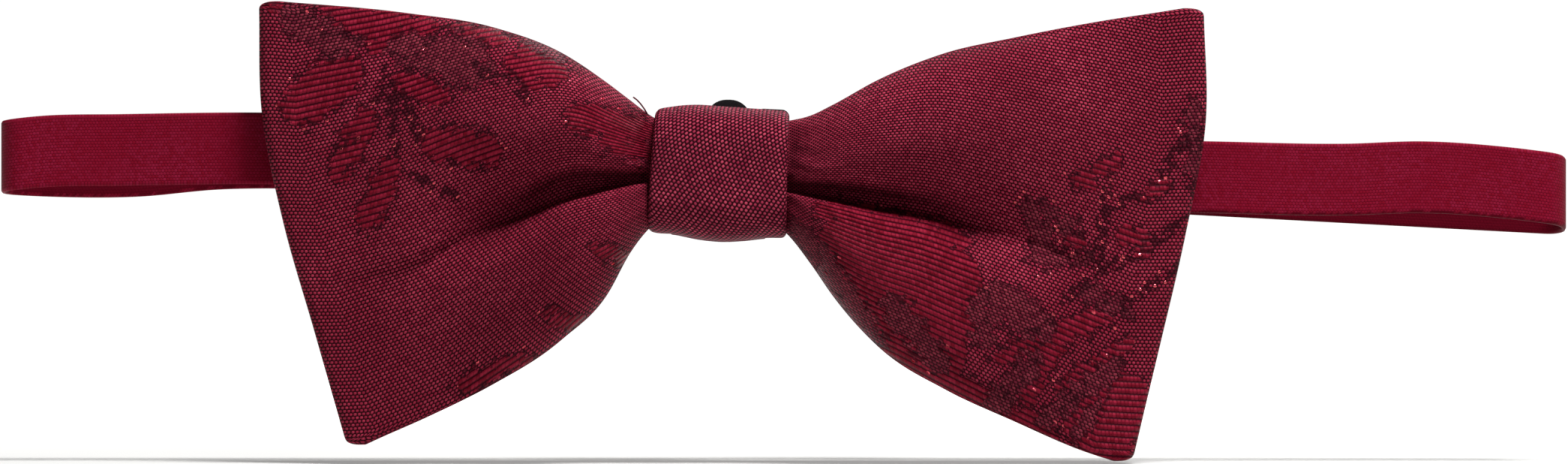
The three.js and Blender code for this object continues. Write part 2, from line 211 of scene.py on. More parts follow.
def glowing_card():
    """White card, calendered: a soft shine and a faint mottling.

    It glows with painted light: faintly near the bow, where it lightens the bow's shadow, and fully away from
    it, where the lamps fall off, and a little more behind the bow than in front.
    """
    material, tree = new_material("calendered_white_card")
    spot = add_node(tree, "ShaderNodeTexCoord").node.outputs["Object"]
    mottle = add_node(tree, "ShaderNodeTexNoise", {"Vector": spot, "Scale": 30.0})
    tone = add_node(
        tree, "ShaderNodeMix", {0: mottle, 6: hex_colour("#C2C2C0"), 7: hex_colour("#C7C7C5")}, **COLOUR_MIX
    )
    # Painted light: the card's glow is faint near the bow and full far from it.
    away = add_node(tree, "ShaderNodeVectorMath", {0: spot}, operation="LENGTH").node.outputs["Value"]
    glow = add_node(tree, "ShaderNodeMapRange", {0: away, 1: 0.08, 2: 0.4, 3: 0.3, 4: 1.0}, **SMOOTH)
    deep = add_node(tree, "ShaderNodeSeparateXYZ", {0: spot}).node.outputs[1]
    side = add_node(tree, "ShaderNodeMapRange", {0: deep, 1: -0.15, 2: 0.2, 3: 0.25, 4: 1.0}, **SMOOTH)
    glow = add_node(tree, "ShaderNodeMath", {0: glow, 1: side}, operation="MULTIPLY")
    shader = add_node(
        tree,
        "ShaderNodeBsdfPrincipled",
        {
            "Base Color": tone,
            "Roughness": 0.6,
            "Specular IOR Level": 0.2,
            "Emission Color": hex_colour("#FFFFFE"),
            "Emission Strength": glow,
        },
    )
    add_node(tree, "ShaderNodeOutputMaterial", {"Surface": shader})
    return material


def make_floor():
    half_wide = 20  # metres
    bm = bmesh.new()
    bmesh.ops.create_grid(bm, x_segments=1, y_segments=1, size=half_wide)
    bmesh.ops.translate(bm, verts=bm.verts, vec=(0, 0, floor_height * MM))
    mesh = bpy.data.meshes.new("floor")
    bm.to_mesh(mesh)
    bm.free()
    mesh.materials.append(glowing_card())
    floor = bpy.data.objects.new("floor", mesh)
    bpy.context.collection.objects.link(floor)


make_floor()


# ---------------------------------------------------------------- making meshes


SAME_PLACE = 1e-6  # metres, within which two corners of a skin are one


def smooth_step(low, high, x):
    """0 below low, 1 above high, and a smooth climb between them."""
    t = np.clip((x - low) / (high - low), 0, 1)
    return t * t * (3 - 2 * t)


def curve(points, x):
    """Height at x of a smooth line through points, level with its neighbours' slope at each."""
    xs, ys = np.array(points, float).T
    slopes = np.gradient(ys, xs)
    x = np.clip(x, xs[0], xs[-1])
    i = np.clip(np.searchsorted(xs, x) - 1, 0, len(xs) - 2)
    width = xs[i + 1] - xs[i]
    t = (x - xs[i]) / width
    rise = ys[i + 1] - ys[i]
    leave, arrive = slopes[i] * width, slopes[i + 1] * width
    return ys[i] + t * leave + t * t * (3 * rise - 2 * leave - arrive) + t**3 * (leave + arrive - 2 * rise)


def loft(name, along, around, place, cloth, marks=None, cap=True):
    """A closed skin: a grid bent into a tube by place(s, w), both from 0 to 1, with w going round it.

    cloth(s, w) gives the weave's own coordinates in millimetres, and marks(s, w) named values per vertex.
    """
    bm = bmesh.new()
    bm.loops.layers.uv.new("cloth")
    bmesh.ops.create_grid(bm, x_segments=along, y_segments=around, size=0.5)
    mesh = bpy.data.meshes.new(name)
    bm.to_mesh(mesh)
    bm.free()
    flat = np.zeros(len(mesh.vertices) * 3)
    mesh.vertices.foreach_get("co", flat)
    flat = flat.reshape(-1, 3)
    s, w = flat[:, 0] + 0.5, flat[:, 1] + 0.5
    mesh.vertices.foreach_set("co", (np.stack(place(s, w), axis=1) * MM).ravel())
    corners = np.zeros(len(mesh.loops), int)
    mesh.loops.foreach_get("vertex_index", corners)
    mesh.uv_layers["cloth"].data.foreach_set("uv", np.stack(cloth(s[corners], w[corners]), axis=1).ravel())
    for key, values in (marks(s, w) if marks else {}).items():
        mesh.attributes.new(key, "FLOAT", "POINT").data.foreach_set("value", values)
    bm = bmesh.new()
    bm.from_mesh(mesh)
    bmesh.ops.remove_doubles(bm, verts=bm.verts, dist=SAME_PLACE)
    if cap:
        bmesh.ops.holes_fill(bm, edges=[e for e in bm.edges if e.is_boundary], sides=0)
    bmesh.ops.recalc_face_normals(bm, faces=bm.faces)
    for face in bm.faces:
        face.smooth = True
    bm.to_mesh(mesh)
    bm.free()
    obj = bpy.data.objects.new(name, mesh)
    bpy.context.collection.objects.link(obj)
    return obj


def flat_section(w, low, high, edge=0.04):
    """Round a flattened tube: across runs low to high on the outer face and back on the inner one.

    Returns across, and the turn: 0 on the outer face, pi on the inner one. edge is each edge's share of w.
    """
    half = 0.5
    crowding = 0.07  # how far the rows are drawn towards the edges, where the section turns
    outer = np.clip(w / (half - edge), 0, 1)
    inner = np.clip((w - half) / (half - edge), 0, 1)
    across = np.where(w < half, outer, 1 - inner)
    across = across - crowding * np.sin(2 * math.pi * across)
    over_top = np.clip((w - (half - edge)) / edge, 0, 1)
    over_low = np.clip((w - (1 - edge)) / edge, 0, 1)
    turn = math.pi * (over_top + over_low)
    return low + (high - low) * across, turn


# ---------------------------------------------------------------- materials


def woven(tree, u, v, pitch_u, pitch_v, step):
    """Beads of thread in rows: their height from 0 to 1, and a value of its own for each bead.

    step is how far each row is shifted along the last, as a share of a bead.
    """
    row = add_node(tree, "ShaderNodeMath", {0: v, 1: pitch_v}, operation="DIVIDE")
    row_number = add_node(tree, "ShaderNodeMath", {0: row}, operation="FLOOR")
    shift = add_node(tree, "ShaderNodeMath", {0: row_number, 1: step}, operation="MULTIPLY")
    bead = add_node(tree, "ShaderNodeMath", {0: u, 1: pitch_u}, operation="DIVIDE")
    bead = add_node(tree, "ShaderNodeMath", {0: bead, 1: shift}, operation="ADD")
    bead_number = add_node(tree, "ShaderNodeMath", {0: bead}, operation="FLOOR")
    swell = []
    for place in (row, bead):
        turn = add_node(tree, "ShaderNodeMath", {0: place, 1: math.pi}, operation="MULTIPLY")
        wave = add_node(tree, "ShaderNodeMath", {0: turn}, operation="SINE")
        swell.append(add_node(tree, "ShaderNodeMath", {0: wave}, operation="ABSOLUTE"))
    height = add_node(tree, "ShaderNodeMath", {0: swell[0], 1: swell[1]}, operation="MULTIPLY")
    height = add_node(tree, "ShaderNodeMath", {0: height, 1: 0.6}, operation="POWER")
    cell = add_node(tree, "ShaderNodeCombineXYZ", {0: bead_number, 1: row_number})
    own = add_node(tree, "ShaderNodeTexWhiteNoise", {"Vector": cell}, noise_dimensions="2D")
    return height, own


def cloth_place(tree):
    """The weave's own coordinates, in millimetres."""
    uv = add_node(tree, "ShaderNodeUVMap", uv_map="cloth")
    split = add_node(tree, "ShaderNodeSeparateXYZ", {0: uv}).node
    return uv, split.outputs[0], split.outputs[1]


def yarn_colour(tree, height, own, shades, washes, gap_shade, gap_low, gap_high):
    """Threads of a shade between two, under washes of (share, colour), with painted shade in the gaps between
    them.
    """
    thread = add_node(
        tree, "ShaderNodeMix", {0: own, 6: hex_colour(shades[0]), 7: hex_colour(shades[1])}, **COLOUR_MIX
    )
    for share, colour in washes:
        thread = add_node(tree, "ShaderNodeMix", {0: share, 6: thread, 7: hex_colour(colour)}, **COLOUR_MIX)
    # Low on each thread its colour sinks to the dark colour: painted shade in the hollows between threads.
    on_thread = add_node(
        tree, "ShaderNodeMapRange", {0: height, 1: gap_low, 2: gap_high, 3: 0, 4: 1}, **SMOOTH
    )
    return add_node(tree, "ShaderNodeMix", {0: on_thread, 6: hex_colour(gap_shade), 7: thread}, **COLOUR_MIX)


def jacquard():
    """Polyester jacquard, woven: a dull canvas ground, raised ribs of crimson float, finer plum twill, dark
    binding threads round each figure, and specks of red metallic yarn along the stems and edges."""
    material, tree = new_material("woven_jacquard")
    uv, u, v = cloth_place(tree)
    marks = {
        key: add_node(tree, "ShaderNodeAttribute", attribute_name=key).node.outputs["Fac"]
        for key in ("float_depth", "plum_depth", "stem_depth")
    }
    # Threads are 0.35 mm in the real cloth. They are drawn at 0.46 to 0.62 mm so that they show.
    ground, ground_own = woven(tree, u, v, 0.55, 0.5, 0.5)
    twill, twill_own = woven(tree, u, v, 0.62, 0.46, 0.34)
    # Each crimson rib is a bundle of float yarn, 0.88 mm wide and slightly twisted.
    rib = 0.88
    fine, fine_own = woven(tree, u, v, 0.5, rib, 0.4)
    fine = add_node(tree, "ShaderNodeMapRange", {0: fine, 1: 0.0, 2: 0.8, 3: 0.55, 4: 1.0}, **SMOOTH)
    ribs = add_node(tree, "ShaderNodeMath", {0: v, 1: math.pi / rib}, operation="MULTIPLY")
    ribs = add_node(tree, "ShaderNodeMath", {0: ribs}, operation="SINE")
    ribs = add_node(tree, "ShaderNodeMath", {0: ribs}, operation="ABSOLUTE")
    ribs = add_node(tree, "ShaderNodeMath", {0: ribs, 1: fine}, operation="MULTIPLY")

    # The figures' edges step from thread to thread, and wander a little.
    jag = add_node(tree, "ShaderNodeMath", {0: ground_own, 1: 0.5}, operation="SUBTRACT")
    jag = add_node(tree, "ShaderNodeMath", {0: jag, 1: 0.9}, operation="MULTIPLY")
    ragged = add_node(tree, "ShaderNodeTexNoise", {"Vector": uv, "Scale": 0.55, "Detail": 3.0})
    ragged = add_node(tree, "ShaderNodeMath", {0: ragged, 1: 0.5}, operation="SUBTRACT")
    jag = add_node(tree, "ShaderNodeMath", {0: ragged, 1: 4.0, 2: jag}, operation="MULTIPLY_ADD")
    jag_shares = {"float_depth": 1.0, "plum_depth": 1.0, "stem_depth": 0.3}
    inside = {}
    rough_depth = {}
    for key, depth in marks.items():
        own_jag = add_node(tree, "ShaderNodeMath", {0: jag, 1: jag_shares[key]}, operation="MULTIPLY")
        rough = add_node(tree, "ShaderNodeMath", {0: depth, 1: own_jag}, operation="ADD")
        rough_depth[key] = rough
        inside[key] = add_node(
            tree, "ShaderNodeMapRange", {0: rough, 1: -0.08, 2: 0.08, 3: 0, 4: 1}, **SMOOTH
        )

    # Painted sheen: the ground is painted darker in slow patches about two centimetres across.
    sheen_drift = add_node(tree, "ShaderNodeTexNoise", {"Vector": uv, "Scale": 0.06, "Detail": 2.0})
    sheen_drift = add_node(tree, "ShaderNodeMapRange", {0: sheen_drift, 1: 0.3, 2: 0.7, 3: 0.0, 4: 0.6}, **SMOOTH)
    # In each yarn colour, the dark colour after the two shades is painted shade for the gaps between threads.
    ground_colour = yarn_colour(
        tree, ground, ground_own, ("#8A2038", "#B03A52"), [(sheen_drift, "#7E1C30")], "#1C0208", 0.3, 0.9
    )
    plum_colour = yarn_colour(tree, twill, twill_own, ("#5A1526", "#86303F"), [], "#1E050B", 0.2, 0.8)
    float_colour = yarn_colour(tree, ribs, fine_own, ("#650A1B", "#861A30"), [], "#30020E", 0.15, 0.65)

    floats = inside["float_depth"]
    plums = inside["plum_depth"]
    stems = inside["stem_depth"]
    colour = add_node(tree, "ShaderNodeMix", {0: floats, 6: ground_colour, 7: float_colour}, **COLOUR_MIX)
    raised = add_node(tree, "ShaderNodeMath", {0: ribs, 1: 1.5, 2: 0.7}, operation="MULTIPLY_ADD")
    height = add_node(tree, "ShaderNodeMix", {0: floats, 2: ground, 3: raised})
    colour = add_node(tree, "ShaderNodeMix", {0: plums, 6: colour, 7: plum_colour}, **COLOUR_MIX)
    height = add_node(tree, "ShaderNodeMix", {0: plums, 2: height, 3: twill})

    # Dark binding threads run just outside each figure and along the stems.
    edge = 0
    for rough in rough_depth.values():
        off = add_node(tree, "ShaderNodeMath", {0: rough, 1: 0.25}, operation="ADD")
        off = add_node(tree, "ShaderNodeMath", {0: off}, operation="ABSOLUTE")
        near = add_node(tree, "ShaderNodeMapRange", {0: off, 1: 0.12, 2: 0.5, 3: 1.0, 4: 0.0}, **SMOOTH)
        edge = add_node(tree, "ShaderNodeMath", {0: edge, 1: near}, operation="MAXIMUM")
    figure_edge = add_node(tree, "ShaderNodeMath", {0: edge, 1: stems}, operation="MAXIMUM")
    broken = add_node(tree, "ShaderNodeMath", {0: twill_own, 1: 0.38}, operation="GREATER_THAN")
    bound = add_node(tree, "ShaderNodeMath", {0: figure_edge, 1: broken}, operation="MULTIPLY")
    bound = add_node(tree, "ShaderNodeMath", {0: bound, 1: 0.8}, operation="MULTIPLY")
    colour = add_node(tree, "ShaderNodeMix", {0: bound, 6: colour, 7: hex_colour("#17040A")}, **COLOUR_MIX)

    # Metallic yarn surfaces as single bright specks, more often along the stems.
    odds = add_node(tree, "ShaderNodeMix", {0: stems, 2: 0.972, 3: 0.93})
    speck = add_node(tree, "ShaderNodeMath", {0: ground_own, 1: odds}, operation="GREATER_THAN")
    speck = add_node(tree, "ShaderNodeMath", {0: speck, 1: figure_edge}, operation="MULTIPLY")
    on_thread = add_node(tree, "ShaderNodeMapRange", {0: ground, 1: 0.3, 2: 0.6, 3: 0, 4: 1}, **SMOOTH)
    speck = add_node(tree, "ShaderNodeMath", {0: speck, 1: on_thread}, operation="MULTIPLY")
    colour = add_node(tree, "ShaderNodeMix", {0: speck, 6: colour, 7: hex_colour("#D0505C")}, **COLOUR_MIX)

    gloss = add_node(tree, "ShaderNodeMix", {0: floats, 2: 0.76, 3: 0.56})
    gloss = add_node(tree, "ShaderNodeMix", {0: speck, 2: gloss, 3: 0.2})
    bump = add_node(tree, "ShaderNodeBump", {"Strength": 0.75, "Distance": 0.00022, "Height": height})
    shader = add_node(
        tree,
        "ShaderNodeBsdfPrincipled",
        {
            "Base Color": colour,
            "Roughness": gloss,
            "Metallic": speck,
            "IOR": 1.5,
            "Specular IOR Level": 0.18,
            "Specular Tint": hex_colour("#E8607C"),
            "Normal": bump,
        },
    )
    add_node(tree, "ShaderNodeOutputMaterial", {"Surface": shader})
    return material


def knot_twill():
    """Polyester twill, woven: slanting lines of raised beads, each with a small highlight."""
    material, tree = new_material("woven_twill")
    uv, u, v = cloth_place(tree)
    # The real twill's beads are 0.42 mm apart. They are drawn at 0.51 and 0.59 mm so that they show.
    along = add_node(tree, "ShaderNodeMath", {0: u, 1: v}, operation="ADD")
    aside = add_node(tree, "ShaderNodeMath", {0: u, 1: v}, operation="SUBTRACT")
    beads, own = woven(tree, along, aside, 0.84, 0.72, 0.5)
    # Painted sheen: slow patches pull the beads towards one shade.
    sheen_drift = add_node(tree, "ShaderNodeTexNoise", {"Vector": uv, "Scale": 0.2, "Detail": 2.0})
    sheen_drift = add_node(tree, "ShaderNodeMapRange", {0: sheen_drift, 1: 0.3, 2: 0.7, 3: 0.0, 4: 0.5}, **SMOOTH)
    # The dark colour after the two shades is painted shade for the gaps between beads.
    colour = yarn_colour(
        tree, beads, own, ("#86203A", "#C04860"), [(sheen_drift, "#8E2A42")], "#26020C", 0.4, 0.95
    )
    bump = add_node(tree, "ShaderNodeBump", {"Strength": 0.8, "Distance": 0.0002, "Height": beads})
    shader = add_node(
        tree,
        "ShaderNodeBsdfPrincipled",
        {
            "Base Color": colour,
            "Roughness": add_node(tree, "ShaderNodeMix", {0: own, 2: 0.45, 3: 0.6}),
            "Specular IOR Level": 0.14,
            "Specular Tint": hex_colour("#F0788E"),
            "Normal": bump,
        },
    )
    add_node(tree, "ShaderNodeOutputMaterial", {"Surface": shader})
    return material


def strap_satin():
    """Satin-faced cotton ribbon, woven fine and pressed: close cross threads, painted sheen in slow patches,
    and a darker reverse, partly its own colour and partly painted shade.
    """
    material, tree = new_material("woven_satin_ribbon")
    uv, u, v = cloth_place(tree)
    # The real threads are 0.2 mm. They are drawn at 0.42 mm so that they show.
    weave, own = woven(tree, u, v, 0.42, 0.4, 0.5)
    # Painted sheen: slow patches are painted a little darker, and made rougher.
    sheen_drift = add_node(tree, "ShaderNodeTexNoise", {"Vector": uv, "Scale": 0.12, "Detail": 3.0})
    wear_and_sheen = add_node(tree, "ShaderNodeMapRange", {0: sheen_drift, 1: 0.3, 2: 0.7, 3: 0.0, 4: 0.6}, **SMOOTH)
    # The reverse face is darker, partly its own colour and partly painted shade inside the loop.
    reverse = add_node(tree, "ShaderNodeAttribute", attribute_name="shaded_reverse_side").node.outputs["Fac"]
    washes = [(wear_and_sheen, "#760B22"), (reverse, "#520616")]
    # The dark colour after the washes is painted shade for the gaps between threads.
    colour = yarn_colour(tree, weave, own, ("#740D21", "#811833"), washes, "#4C0413", 0.05, 0.6)
    bump = add_node(tree, "ShaderNodeBump", {"Strength": 0.35, "Distance": 0.0001, "Height": weave})
    shader = add_node(
        tree,
        "ShaderNodeBsdfPrincipled",
        {
            "Base Color": colour,
            "Roughness": add_node(tree, "ShaderNodeMix", {0: sheen_drift, 2: 0.5, 3: 0.62}),
            "Specular IOR Level": 0.1,
            "Specular Tint": hex_colour("#E04A64"),
            "Normal": bump,
        },
    )
    add_node(tree, "ShaderNodeOutputMaterial", {"Surface": shader})
    return material


def canvas():
    """Unbleached linen canvas, woven stiff and open: pale crossing threads 0.7 mm apart with shaded gaps."""
    material, tree = new_material("woven_canvas")
    spot = add_node(tree, "ShaderNodeTexCoord").node.outputs["Object"]
    split = add_node(tree, "ShaderNodeSeparateXYZ", {0: spot}).node
    pitch = 0.7 * MM
    weave, own = woven(tree, split.outputs[0], split.outputs[2], pitch, pitch, 0.5)
    colour = yarn_colour(tree, weave, own, ("#D9D0BE", "#EBE4D6"), [], "#9C927E", 0.1, 0.6)
    bump = add_node(tree, "ShaderNodeBump", {"Strength": 0.5, "Distance": 0.0001, "Height": weave})
    surface = {"Base Color": colour, "Roughness": 0.9, "Normal": bump}
    shader = add_node(tree, "ShaderNodeBsdfPrincipled", surface)
    add_node(tree, "ShaderNodeOutputMaterial", {"Surface": shader})
    return material


def sewing_thread():
    """Spun polyester thread, twisted: fine slanting plies, about 0.4 mm apart, with a soft shine."""
    material, tree = new_material("spun_thread")
    spot = add_node(tree, "ShaderNodeTexCoord").node.outputs["Object"]
    twist = {"Vector": spot, "Scale": 900.0, "Distortion": 1.5}
    plies = add_node(tree, "ShaderNodeTexWave", twist, bands_direction="DIAGONAL").node.outputs["Fac"]
    colour = add_node(
        tree, "ShaderNodeMix", {0: plies, 6: hex_colour("#45101E"), 7: hex_colour("#7C2438")}, **COLOUR_MIX
    )
    bump = add_node(tree, "ShaderNodeBump", {"Strength": 0.4, "Distance": 0.00005, "Height": plies})
    surface = {"Base Color": colour, "Roughness": 0.55, "Normal": bump}
    shader = add_node(tree, "ShaderNodeBsdfPrincipled", surface)
    add_node(tree, "ShaderNodeOutputMaterial", {"Surface": shader})
    return material


def black_enamel():
    """Zinc casting, dipped in black enamel: deep gloss, orange peel about 1 mm across, and dulling wear."""
    material, tree = new_material("black_enamelled_zinc")
    spot = add_node(tree, "ShaderNodeTexCoord").node.outputs["Object"]
    peel = add_node(tree, "ShaderNodeTexNoise", {"Vector": spot, "Scale": 900.0, "Detail": 2.0})
    wear = add_node(tree, "ShaderNodeTexNoise", {"Vector": spot, "Scale": 260.0, "Detail": 4.0})
    wear_and_sheen = add_node(tree, "ShaderNodeMapRange", {0: wear, 1: 0.45, 2: 0.75, 3: 0, 4: 1}, **SMOOTH)
    colour = add_node(
        tree, "ShaderNodeMix", {0: wear_and_sheen, 6: hex_colour("#131417"), 7: hex_colour("#26272B")}, **COLOUR_MIX
    )
    gloss = add_node(tree, "ShaderNodeMapRange", {0: wear, 1: 0.3, 2: 0.8, 3: 0.2, 4: 0.42}, **SMOOTH)
    bump = add_node(tree, "ShaderNodeBump", {"Strength": 0.25, "Distance": 0.00004, "Height": peel})
    surface = {
        "Base Color": colour,
        "Roughness": gloss,
        "Coat Weight": 0.5,
        "Coat Roughness": 0.12,
        "Normal": bump,
    }
    shader = add_node(tree, "ShaderNodeBsdfPrincipled", surface)
    add_node(tree, "ShaderNodeOutputMaterial", {"Surface": shader})
    return material


JACQUARD = jacquard()
TWILL = knot_twill()
SATIN = strap_satin()
CANVAS = canvas()
THREAD = sewing_thread()
ENAMEL = black_enamel()


# ---------------------------------------------------------------- wings

WING_START = 0.4  # distance from the middle where a wing's cloth starts, inside the knot
SPREAD_FROM = 8.9  # and where it leaves the knot
PLY = 1.5  # thickness of one ply: cloth, interlining, cloth
FOLD_HALF = PLY + 0.15  # half the thickness of a wing at its outer fold
FRONT_SHARE = 0.58  # of the mesh's length that goes to the front ply
FOLD_SHARE = 0.06  # and to the outer fold
CORNER_ROUND = 1.1  # radius of a wing's outer corners
CLOTH_HIGH = 60  # height of the strip before it is gathered
LOOP_LONG = 120  # about its length round the loop, for the weave's coordinates
MEAN_REACH = 50  # about how far a wing's outer edge is from the knot

# Along a wing, by share of its reach from the knot to its outer edge: how much of each lobe's height its rise
# from the valley takes, and how far the cloth stands forward, or backward on the back ply.
UPPER_RISE = [(0, 0.2), (0.1, 0.3), (0.25, 0.48), (0.45, 0.56), (1, 0.66)]
LOWER_RISE = [(0, 0.15), (0.1, 0.2), (0.3, 0.3), (0.5, 0.34), (1, 0.5)]
UPPER_SWELL = [(0, 2.2), (0.03, 4.4), (0.09, 6.8), (0.2, 8.2), (0.35, 8.2), (0.6, 5.2), (0.82, 1.8), (1, 0.2)]
LOWER_SWELL = [(0, 2.2), (0.03, 4.6), (0.09, 7.2), (0.2, 8.6), (0.35, 7.4), (0.6, 4.0), (0.82, 1.6), (1, 0.2)]
BACK_SWELL = [(0, 2), (0.1, 2), (0.5, 0.9), (1, 0)]

# Each wing: the heights of its upper edge, lower edge and crease by distance from the middle, and the
# distance of its outer edge by share of its height. Then, by share of its reach, half the width of the
# valley's bottom, where the valley starts and ends fading, and how high the cloth's crumples stand.
WINGS = {
    "left": {
        "side": -1,
        "top": [
            (0, 6), (8.4, 6.9), (11.4, 9.1), (14.3, 11.3), (20.2, 15.2), (29, 18.5), (40.6, 20.4), (60, 22.1),
        ],
        "low": [
            (0, -6.6), (8.9, -7.5), (11.4, -10.7), (14.3, -16), (20.2, -21.9), (29, -27.8), (37.7, -32.2),
            (48.6, -36.4),
        ],
        "outer": [(0, 48.4), (0.25, 52.4), (0.5, 56.4), (0.75, 59.2), (1, 59.6)],
        "crease": [
            (0, -1.1), (9, -1.1), (14, -1.5), (20, -2.4), (25, -4.6), (32, -7.6), (39, -10.8), (52, -15),
        ],
        "valley": [(0, 0.3), (0.08, 0.5), (0.22, 1.1), (0.36, 0.7), (0.6, 0.2)],
        "fading": (0.28, 0.8),
        "crumple": 0.12,
    },
    "right": {
        "side": 1,
        "top": [
            (0, 6), (9, 6.4), (12, 7.1), (14.9, 8.5), (20.7, 11.7), (29.5, 15.2), (38.3, 17.1), (50, 19.3),
            (64, 21.4),
        ],
        "low": [
            (0, -6.6), (9, -8.3), (12, -12.1), (14.9, -16.3), (20.7, -22.8), (29.5, -28.5), (38.3, -32.6),
            (47, -36.2), (54.2, -38.2),
        ],
        "outer": [(0, 54), (0.25, 57.4), (0.5, 60.7), (0.75, 63.3), (1, 63.1)],
        "crease": [
            (0, -2.3), (9, -2.3), (15, -3.0), (21, -4.0), (27, -4.9), (33, -6.6), (42, -9.5), (55, -14),
        ],
        "valley": [(0, 0.3), (0.08, 0.55), (0.2, 0.7), (0.4, 0.4), (0.6, 0.2)],
        "fading": (0.44, 0.96),
        "crumple": 0.34,
    },
}

# Figures woven in the cloth, as leaves from one tip to the other: x, z, x, z and half their width.
FLOATS = {
    "left": [
        (-46.4, 14.6, -55.9, 6.4, 3.0), (-44.7, 7.9, -49.9, -1.3, 1.7), (-41.7, 1.5, -45.7, -7.6, 1.6),
        (-38.4, 3.7, -27.8, 2.3, 2.3), (-52, 19.9, -36, 18.2, 1.9), (-46, 16.6, -38, 16.6, 1.5),
        (-58.3, 21.4, -54, 20.9, 0.7), (-34.5, 18.3, -27.5, 17, 1.2), (-42, 12, -34.6, 9.2, 1.5),
        (-25.6, 16.2, -19.8, 11.8, 2.2), (-19.6, 7.1, -8.4, 4.8, 1.8), (-15, 4.0, -8.3, 1.9, 1.3),
        (-22.8, -18.6, -17, -20.2, 1.0), (-34.2, -28.4, -23.8, -24, 1.1), (-16, -10, -11, -11.8, 0.9),
        (-27.6, 14.6, -23, 10.4, 1.0),
    ],
    "right": [
        (12.2, -4.7, 33, -9.4, 1.6), (13.2, -8.2, 34, -15.6, 4.4), (14, -11, 31, -26.5, 5.0),
        (18, -11, 34, -20, 5.3),
        (52.8, -17.6, 35.8, -24.6, 1.5), (45, -20.5, 39, -30.6, 1.4), (54.5, -27, 47, -37, 5.0),
        (28.5, -27.5, 44, -35.6, 2.4), (53.5, -22.2, 44, -28.6, 1.2), (45.6, -0.6, 49.3, -2.2, 0.8),
        (48.2, -1, 52.2, 2, 0.8), (54.2, -3.7, 58.8, -1.4, 0.9), (52, -7.4, 56, -10.9, 1.3),
        (44.6, -8.2, 47.6, -9.8, 0.8), (60.6, 6, 62, 2.4, 0.6),
    ],
}
PLUMS = {
    "left": [
        (-56.5, 20.4, -48.6, 16.6, 2.0), (-43, 15.6, -29.6, 15, 2.4), (-36, 12.6, -28.4, 12.6, 1.6),
        (-51.5, 15.2, -46, 16.4, 1.3), (-26.6, 18.4, -17.4, 13.5, 1.0),
    ],
    "right": [
        (9.6, -6.6, 21.4, -22.6, 1.4), (21.4, -16.4, 29.6, -25.8, 1.6), (34.4, -15.4, 43.4, -21.6, 2.3),
        (41.5, -23.4, 34.6, -32.8, 1.5), (52.6, -24.6, 41.6, -32.8, 1.4), (33.6, -16.4, 34.4, -23.4, 1.3),
        (46.5, -15.5, 53.6, -18.6, 1.3), (61.6, 9.4, 61.8, -2.4, 1.0), (39.3, -3.6, 43.4, -12, 1.2),
        (40, -11.6, 48.6, -11.4, 0.8), (40.6, -4.4, 47.5, -8.2, 0.8), (49.8, -29.4, 45.8, -35.2, 0.8),
    ],
}
STEMS = {
    "left": [
        (-42.8, 13.4, -41.6, 2.2, 0.35), (-41.6, 11.2, -38.2, 3.9, 0.35), (-44.6, 8.6, -42.6, 12.8, 0.3),
        (-31, 13.6, -28.6, 11.4, 0.4), (-27.2, 12.6, -24.4, 8.8, 0.35), (-39.6, -0.6, -33.6, -3.6, 0.3),
        (-49.6, 3.2, -46.6, 4.2, 0.25), (-55.4, 6.4, -52.8, 6.0, 0.2),
    ],
    "right": [
        (50.5, -2, 49, -13.6, 0.35), (49, -13.6, 61.8, -6, 0.35), (49, -13.6, 44.6, -17, 0.35),
        (50, -5, 54.6, -3.4, 0.25), (54.4, -16.4, 60, -12, 0.25), (56.6, -1.8, 60.8, 4.4, 0.3),
    ],
}


def figure_depth(x, z, leaves):
    """How far inside the nearest leaf each point is, in millimetres, and below 0 outside them all."""
    best = np.full(x.shape, -9.0)
    for ax, az, bx, bz, half in leaves:
        length = math.hypot(bx - ax, bz - az)
        along = ((x - ax) * (bx - ax) + (z - az) * (bz - az)) / length**2
        aside = np.abs((x - ax) * (bz - az) - (z - az) * (bx - ax)) / length
        t = np.clip(along, 0, 1)
        beyond = np.abs(along - t) * length
        width = half * np.sqrt(np.clip(1 - (2 * t - 1) ** 4, 0, 1))
        best = np.maximum(best, width - np.hypot(aside, beyond))
    return best


def edge_proud(u):
    """How far a ply's rounded edge stands out from its outline: less where the gather pinches it."""
    return PLY / 2 * (0.15 + 0.85 * smooth_step(0.35, 0.9, u))


